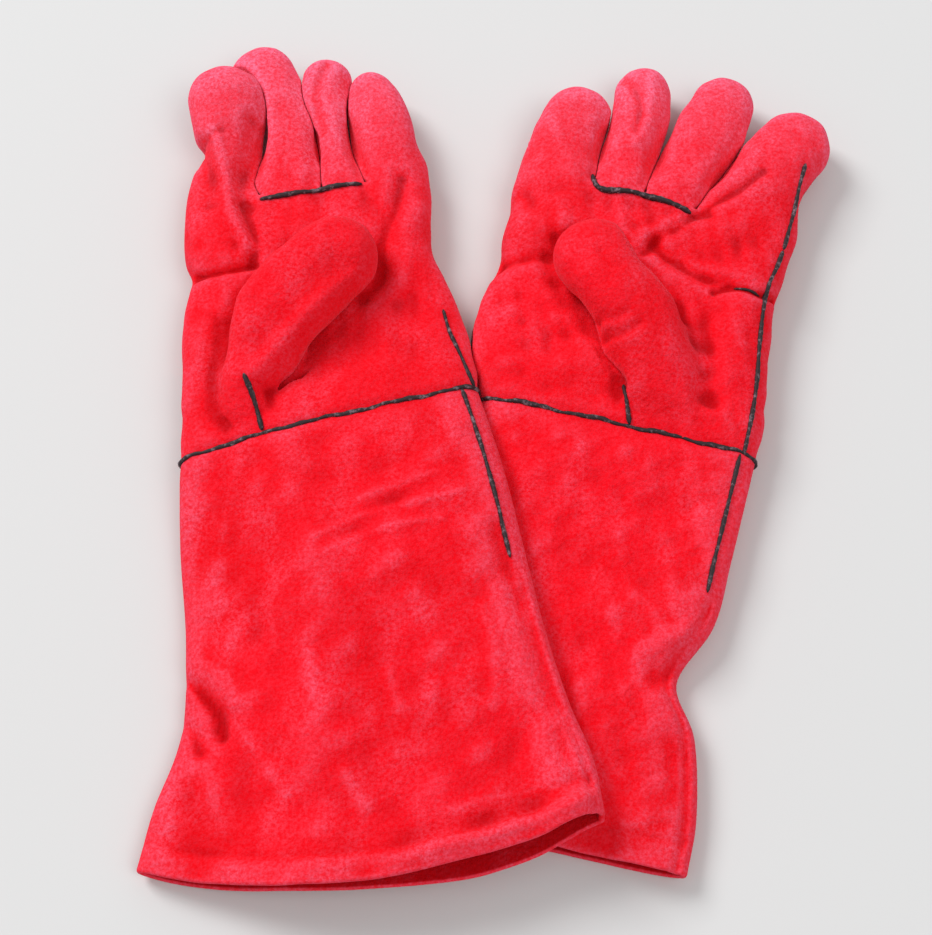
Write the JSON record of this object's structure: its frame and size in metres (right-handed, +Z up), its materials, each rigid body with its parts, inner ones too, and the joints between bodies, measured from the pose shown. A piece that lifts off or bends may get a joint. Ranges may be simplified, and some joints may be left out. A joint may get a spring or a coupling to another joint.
{
  "type": "welding gloves",
  "caption": "Pair of red split-leather welding gauntlets lying palms up, one flared cuff draped over the other, thumbs folded over the palms",
  "frame": {"origin": "centre of the footprint of both gloves, on the table they lie on", "axes": "+Z up off the table out of the palms, +Y towards the fingertips, +X from the left glove to the right glove"},
  "size_m": [0.3103, 0.4146, 0.0446],
  "materials": {
    "red_leather": "napped suede",
    "piping": "smooth, worn along its crown",
    "lining": "plain woven cotton"
  },
  "bodies": {
    "right_cuff": {"right_cuff_palm_panel": "red_leather", "right_cuff_back_panel": "red_leather", "right_cuff_lining": "lining", "right_cuff_left_welt": "piping", "right_cuff_right_welt": "piping", "right_wrist_welt": "piping"},
    "right_hand": {"right_palm_panel": "red_leather", "right_hand_back_panel": "red_leather", "right_hand_lining": "lining", "right_thumb_wing": "red_leather", "right_hand_left_welt": "piping", "right_hand_right_welt": "piping", "right_finger_base_welt": "piping"},
    "right_thumb": {"right_thumb_front": "red_leather", "right_thumb_back": "red_leather", "right_thumb_lining": "lining"},
    "right_index": {"right_index_front": "red_leather", "right_index_back": "red_leather", "right_index_lining": "lining"},
    "right_middle": {"right_middle_front": "red_leather", "right_middle_back": "red_leather", "right_middle_lining": "lining"},
    "right_ring": {"right_ring_front": "red_leather", "right_ring_back": "red_leather", "right_ring_lining": "lining"},
    "right_little": {"right_little_front": "red_leather", "right_little_back": "red_leather", "right_little_lining": "lining"},
    "left_cuff": {"left_cuff_palm_panel": "red_leather", "left_cuff_back_panel": "red_leather", "left_cuff_lining": "lining", "left_cuff_left_welt": "piping", "left_cuff_right_welt": "piping", "left_wrist_welt": "piping"},
    "left_hand": {"left_palm_panel": "red_leather", "left_hand_back_panel": "red_leather", "left_hand_lining": "lining", "left_thumb_wing": "red_leather", "left_hand_left_welt": "piping", "left_hand_right_welt": "piping", "left_finger_base_welt": "piping"},
    "left_thumb": {"left_thumb_front": "red_leather", "left_thumb_back": "red_leather", "left_thumb_lining": "lining"},
    "left_index": {"left_index_front": "red_leather", "left_index_back": "red_leather", "left_index_lining": "lining"},
    "left_middle": {"left_middle_front": "red_leather", "left_middle_back": "red_leather", "left_middle_lining": "lining"},
    "left_ring": {"left_ring_front": "red_leather", "left_ring_back": "red_leather", "left_ring_lining": "lining"},
    "left_little": {"left_little_front": "red_leather", "left_little_back": "red_leather", "left_little_lining": "lining"}
  },
  "joints": [
    {"name": "left_glove_lift", "type": "slide", "parent": "right_cuff", "child": "left_cuff", "axis": [0, 0, 1], "range_m": [0, 0.15]},
    {"name": "left_wrist_bend", "type": "hinge", "parent": "left_cuff", "child": "left_hand", "pos_m": [-0.08, -0.0075, 0.0275], "axis": [0.9693, 0.246, 0], "range_deg": [0, 40]},
    {"name": "right_wrist_bend", "type": "hinge", "parent": "right_cuff", "child": "right_hand", "pos_m": [0.04925, -0.0085, 0.023], "axis": [0.9689, -0.2476, 0], "range_deg": [0, 40]},
    {"name": "left_thumb_lift", "type": "hinge", "parent": "left_hand", "child": "left_thumb", "pos_m": [-0.1235, 0.037, 0.0455], "axis": [0.5017, -0.865, 0], "range_deg": [0, 60]},
    {"name": "left_index_curl", "type": "hinge", "parent": "left_hand", "child": "left_index", "pos_m": [-0.134, 0.108, 0.0245], "axis": [0.9864, 0.1644, 0], "range_deg": [0, 60]},
    {"name": "left_middle_curl", "type": "hinge", "parent": "left_hand", "child": "left_middle", "pos_m": [-0.102, 0.113, 0.0245], "axis": [0.99, 0.1414, 0], "range_deg": [0, 60]},
    {"name": "left_ring_curl", "type": "hinge", "parent": "left_hand", "child": "left_ring", "pos_m": [-0.0775, 0.11625, 0.0245], "axis": [0.993, 0.1182, 0], "range_deg": [0, 60]},
    {"name": "left_little_curl", "type": "hinge", "parent": "left_hand", "child": "left_little", "pos_m": [-0.0525, 0.11875, 0.0245], "axis": [0.9963, 0.0859, 0], "range_deg": [0, 60]},
    {"name": "right_thumb_lift", "type": "hinge", "parent": "right_hand", "child": "right_thumb", "pos_m": [0.0675, 0.0355, 0.0455], "axis": [0.6186, 0.7857, 0], "range_deg": [0, 60]},
    {"name": "right_index_curl", "type": "hinge", "parent": "right_hand", "child": "right_index", "pos_m": [0.107, 0.092, 0.0245], "axis": [0.8682, -0.4961, 0], "range_deg": [0, 60]},
    {"name": "right_middle_curl", "type": "hinge", "parent": "right_hand", "child": "right_middle", "pos_m": [0.0745, 0.10825, 0.0245], "axis": [0.938, -0.3467, 0], "range_deg": [0, 60]},
    {"name": "right_ring_curl", "type": "hinge", "parent": "right_hand", "child": "right_ring", "pos_m": [0.051, 0.11475, 0.0245], "axis": [0.9829, -0.1843, 0], "range_deg": [0, 60]},
    {"name": "right_little_curl", "type": "hinge", "parent": "right_hand", "child": "right_little", "pos_m": [0.021, 0.11975, 0.0245], "axis": [0.9885, -0.151, 0], "range_deg": [0, 60]}
  ]
}
